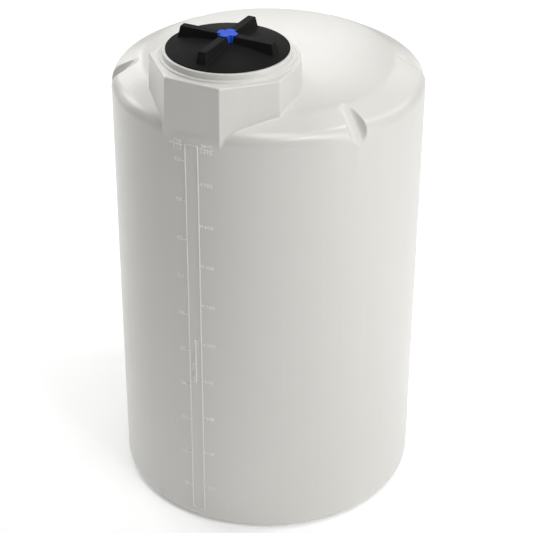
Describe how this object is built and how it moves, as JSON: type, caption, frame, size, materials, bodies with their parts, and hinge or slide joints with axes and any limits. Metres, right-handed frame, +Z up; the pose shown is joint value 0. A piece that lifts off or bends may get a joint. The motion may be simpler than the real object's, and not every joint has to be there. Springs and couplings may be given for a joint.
{
  "type": "vertical storage tank",
  "caption": "Upright round plastic liquid storage tank with rounded base, low domed roof with tie-down grooves, flat-fronted neck with a round back, ribbed screw lid and moulded level gauge",
  "frame": {"origin": "middle of the flat base, at floor level, on the axis of the round shell", "axes": "+Z up along the shell's axis; -Y is the front, where the neck and the level gauge are; +X is to the right seen from the front"},
  "size_m": [1.2192, 1.2217, 2.0605],
  "materials": {
    "shell": "satin",
    "lid": "satin",
    "seal": "matte",
    "vent": "satin"
  },
  "bodies": {
    "tank": {"floor": "shell", "wall_01": "shell", "wall_02": "shell", "wall_03": "shell", "wall_04": "shell", "wall_05": "shell", "wall_06": "shell", "wall_07": "shell", "wall_08": "shell", "wall_09": "shell", "wall_10": "shell", "wall_11": "shell", "wall_12": "shell", "roof_crown": "shell", "roof_01": "shell", "roof_02": "shell", "roof_03": "shell", "roof_04": "shell", "roof_05": "shell", "roof_06": "shell", "roof_07": "shell", "roof_08": "shell", "roof_09": "shell", "roof_10": "shell", "roof_11": "shell", "roof_12": "shell", "neck_front": "shell", "neck_front_right": "shell", "neck_right": "shell", "neck_back_right": "shell", "neck_back": "shell", "neck_back_left": "shell", "neck_left": "shell", "neck_front_left": "shell", "neck_deck": "shell", "mouth_collar": "shell", "gauge_frame": "shell"},
    "seal": {"lid_gasket": "seal"},
    "lid": {"lid_cover": "lid", "lid_skirt": "lid", "lid_rib_front": "lid", "lid_rib_right": "lid", "lid_rib_back": "lid", "lid_rib_left": "lid", "vent_cap": "vent"}
  },
  "joints": [
    {"name": "lid_lift", "type": "slide", "parent": "tank", "child": "seal", "axis": [0, 0, 1], "range_m": [0, 0.12]},
    {"name": "lid_turn", "type": "hinge", "parent": "seal", "child": "lid", "pos_m": [0, -0.3263, 2.0014], "axis": [0, 0, 1], "range_deg": [0, 540]}
  ]
}
